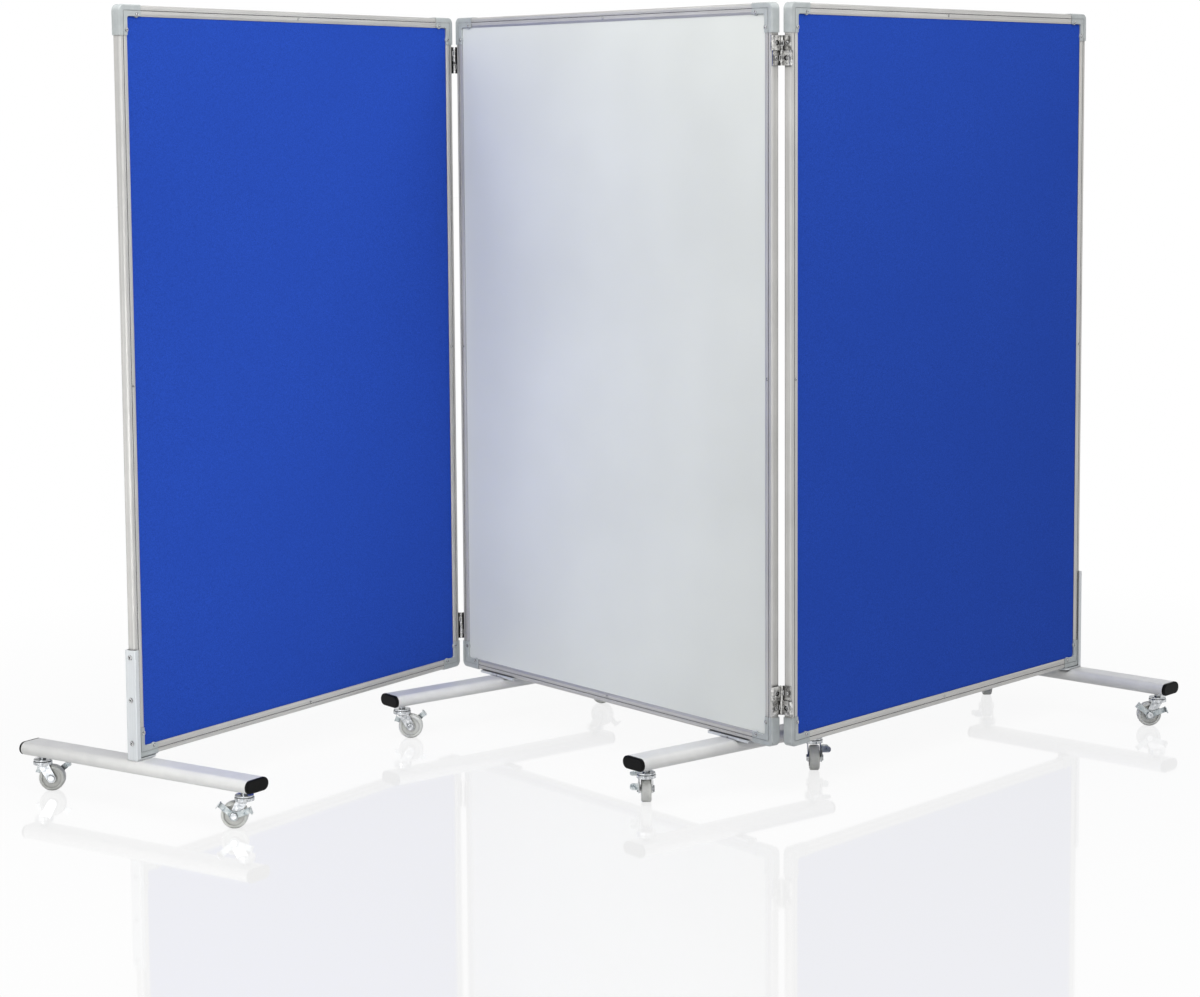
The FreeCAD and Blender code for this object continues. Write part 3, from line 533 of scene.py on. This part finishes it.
def makeFloor(look):
    half = look["size"] / 2
    mesh = bpy.data.meshes.new("floor")
    corners = [(-half, -half, 0), (half, -half, 0), (half, half, 0), (-half, half, 0)]
    mesh.from_pydata(corners, [], [(0, 1, 2, 3)])
    floor = bpy.data.objects.new("floor", mesh)
    scene.collection.objects.link(floor)
    finish = bpy.data.materials.new("floorWhite")
    finish.use_nodes = True
    tree = finish.node_tree
    tree.nodes.clear()
    output = put(tree, "OutputMaterial")
    lit = put(tree, "BsdfDiffuse", {"Color": (look["diffuse"],) * 3 + (1.0,)})
    paper = put(tree, "Emission", {"Color": (1, 1, 1, 1), "Strength": 1.0})
    mirror = put(tree, "BsdfGlossy", {"Color": (1, 1, 1, 1), "Roughness": look["mirrorRough"]})
    coords = put(tree, "TexCoord")
    reach = put(tree, "VectorMath", {1: (*look["middle"], 0.0)}, operation="DISTANCE")
    fade = put(tree, "MapRange", {
        "From Min": look["nearReach"], "From Max": look["farReach"],
        "To Min": look["nearShare"], "To Max": 1.0})
    share = put(tree, "Math", operation="MULTIPLY")
    seen = put(tree, "MixShader")
    coat = put(tree, "MixShader", {"Fac": look["mirror"]})
    tree.links.new(coords.outputs["Object"], reach.inputs[0])
    tree.links.new(reach.outputs["Value"], fade.inputs["Value"])
    tree.links.new(shownRays(tree), share.inputs[0])
    tree.links.new(fade.outputs["Result"], share.inputs[1])
    tree.links.new(share.outputs[0], seen.inputs["Fac"])
    tree.links.new(lit.outputs[0], seen.inputs[1])
    tree.links.new(paper.outputs[0], seen.inputs[2])
    tree.links.new(seen.outputs[0], coat.inputs[1])
    tree.links.new(mirror.outputs[0], coat.inputs[2])
    tree.links.new(coat.outputs[0], output.inputs["Surface"])
    mesh.materials.append(finish)


makeFloor(floorLook)
print("floor: %.0f m square" % floorLook["size"])

# studio light
world = bpy.data.worlds.new("studio")
scene.world = world
world.use_nodes = True
skyLook = {"ambient": 0.52, "backdrop": 1.0, "ceiling": 0.22, "lowRise": 0.3, "highRise": 0.62}


# the backdrop is white to the eye; gloss sees it white low down and dark overhead, by the ray's own rise
def makeSky(look):
    tree = world.node_tree
    tree.nodes.clear()
    output = put(tree, "OutputWorld")
    ambient = put(tree, "Background", {"Color": (1, 1, 1, 1), "Strength": look["ambient"]})
    backdrop = put(tree, "Background", {"Color": (1, 1, 1, 1)})
    coords = put(tree, "TexCoord")
    axes = put(tree, "SeparateXYZ")
    path = put(tree, "LightPath")
    overhead = put(tree, "MapRange", {
        "From Min": look["lowRise"], "From Max": look["highRise"],
        "To Min": look["backdrop"], "To Max": look["ceiling"]})
    level = put(tree, "Mix", {2: look["backdrop"]}, data_type="FLOAT")
    both = put(tree, "MixShader")
    tree.links.new(coords.outputs["Generated"], axes.inputs[0])
    tree.links.new(axes.outputs["Z"], overhead.inputs["Value"])
    tree.links.new(path.outputs["Is Glossy Ray"], level.inputs[0])
    tree.links.new(overhead.outputs["Result"], level.inputs[3])
    tree.links.new(level.outputs[0], backdrop.inputs["Strength"])
    tree.links.new(shownRays(tree), both.inputs["Fac"])
    tree.links.new(ambient.outputs[0], both.inputs[1])
    tree.links.new(backdrop.outputs[0], both.inputs[2])
    tree.links.new(both.outputs[0], output.inputs["Surface"])


makeSky(skyLook)

lamps = {
    "ceilingBox": {"at": (1.5, 0.1, 2.9), "aim": (0.1, 0.0, 0.7), "size": (2.4, 2.4), "power": 46.0},
    "boardBox": {"at": (0.1, -1.3, 2.45), "aim": (-0.2, 0.0, 1.35), "size": (1.8, 1.0), "power": 21.0},
    "lowBox": {"at": (0.0, -3.0, 0.6), "aim": (-0.35, -0.4, 0.3), "size": (1.4, 0.8), "power": 7.0},
    "cornerBox": {"at": (0.9, -2.4, 0.7), "aim": (-0.55, 0.0, 0.4), "size": (0.9, 0.8), "power": 1.9,
                  "spread": 45},
    "frontBox": {"at": (5.5, -2.0, 2.6), "aim": (0.0, 0.0, 0.8), "size": (3.5, 3.0), "power": 25.0},
}
for name, lamp in lamps.items():
    data = bpy.data.lights.new(name, "AREA")
    data.shape = "RECTANGLE"
    data.size, data.size_y = lamp["size"]
    data.energy = lamp["power"]
    data.spread = math.radians(lamp.get("spread", 180))
    light = bpy.data.objects.new(name, data)
    light.location = lamp["at"]
    light.rotation_euler = (Vector(lamp["aim"]) - Vector(lamp["at"])).to_track_quat("-Z", "Y").to_euler()
    scene.collection.objects.link(light)
print("light: %d lamps" % len(lamps))

# camera: place and angles from the feet's square lines; shift only for the photograph's framing
cameraLook = {
    "at": (4.1363, -3.3511, 1.2995), "heading": (-0.7726, 0.6349), "pitchDown": 0.1003, "roll": -0.0055,
    "focalPixels": 2669.76, "middlePixel": (637.48, 380.93), "imageSize": (1200, 997),
}


def makeCamera(look):
    wide, tall = look["imageSize"]
    data = bpy.data.cameras.new("camera")
    data.sensor_fit = "HORIZONTAL"
    data.sensor_width = 36.0
    data.lens = look["focalPixels"] / wide * data.sensor_width
    data.shift_x = (wide / 2 - look["middlePixel"][0]) / wide
    data.shift_y = (look["middlePixel"][1] - tall / 2) / wide
    data.clip_end = 200.0
    level = Vector((*look["heading"], 0.0)).normalized()
    down = look["pitchDown"]
    forward = level * math.cos(down) - Vector((0, 0, 1)) * math.sin(down)
    side = forward.cross(Vector((0, 0, 1))).normalized()
    top = side.cross(forward)
    right = side * math.cos(look["roll"]) + top * math.sin(look["roll"])
    up = right.cross(forward)
    camera = bpy.data.objects.new("camera", data)
    camera.matrix_world = Matrix((right, up, -forward)).transposed().to_4x4()
    camera.location = look["at"]
    scene.collection.objects.link(camera)
    scene.camera = camera


makeCamera(cameraLook)
print("camera: %.0f mm lens" % scene.camera.data.lens)
scene.view_settings.view_transform = "Standard"

bpy.context.view_layer.update()
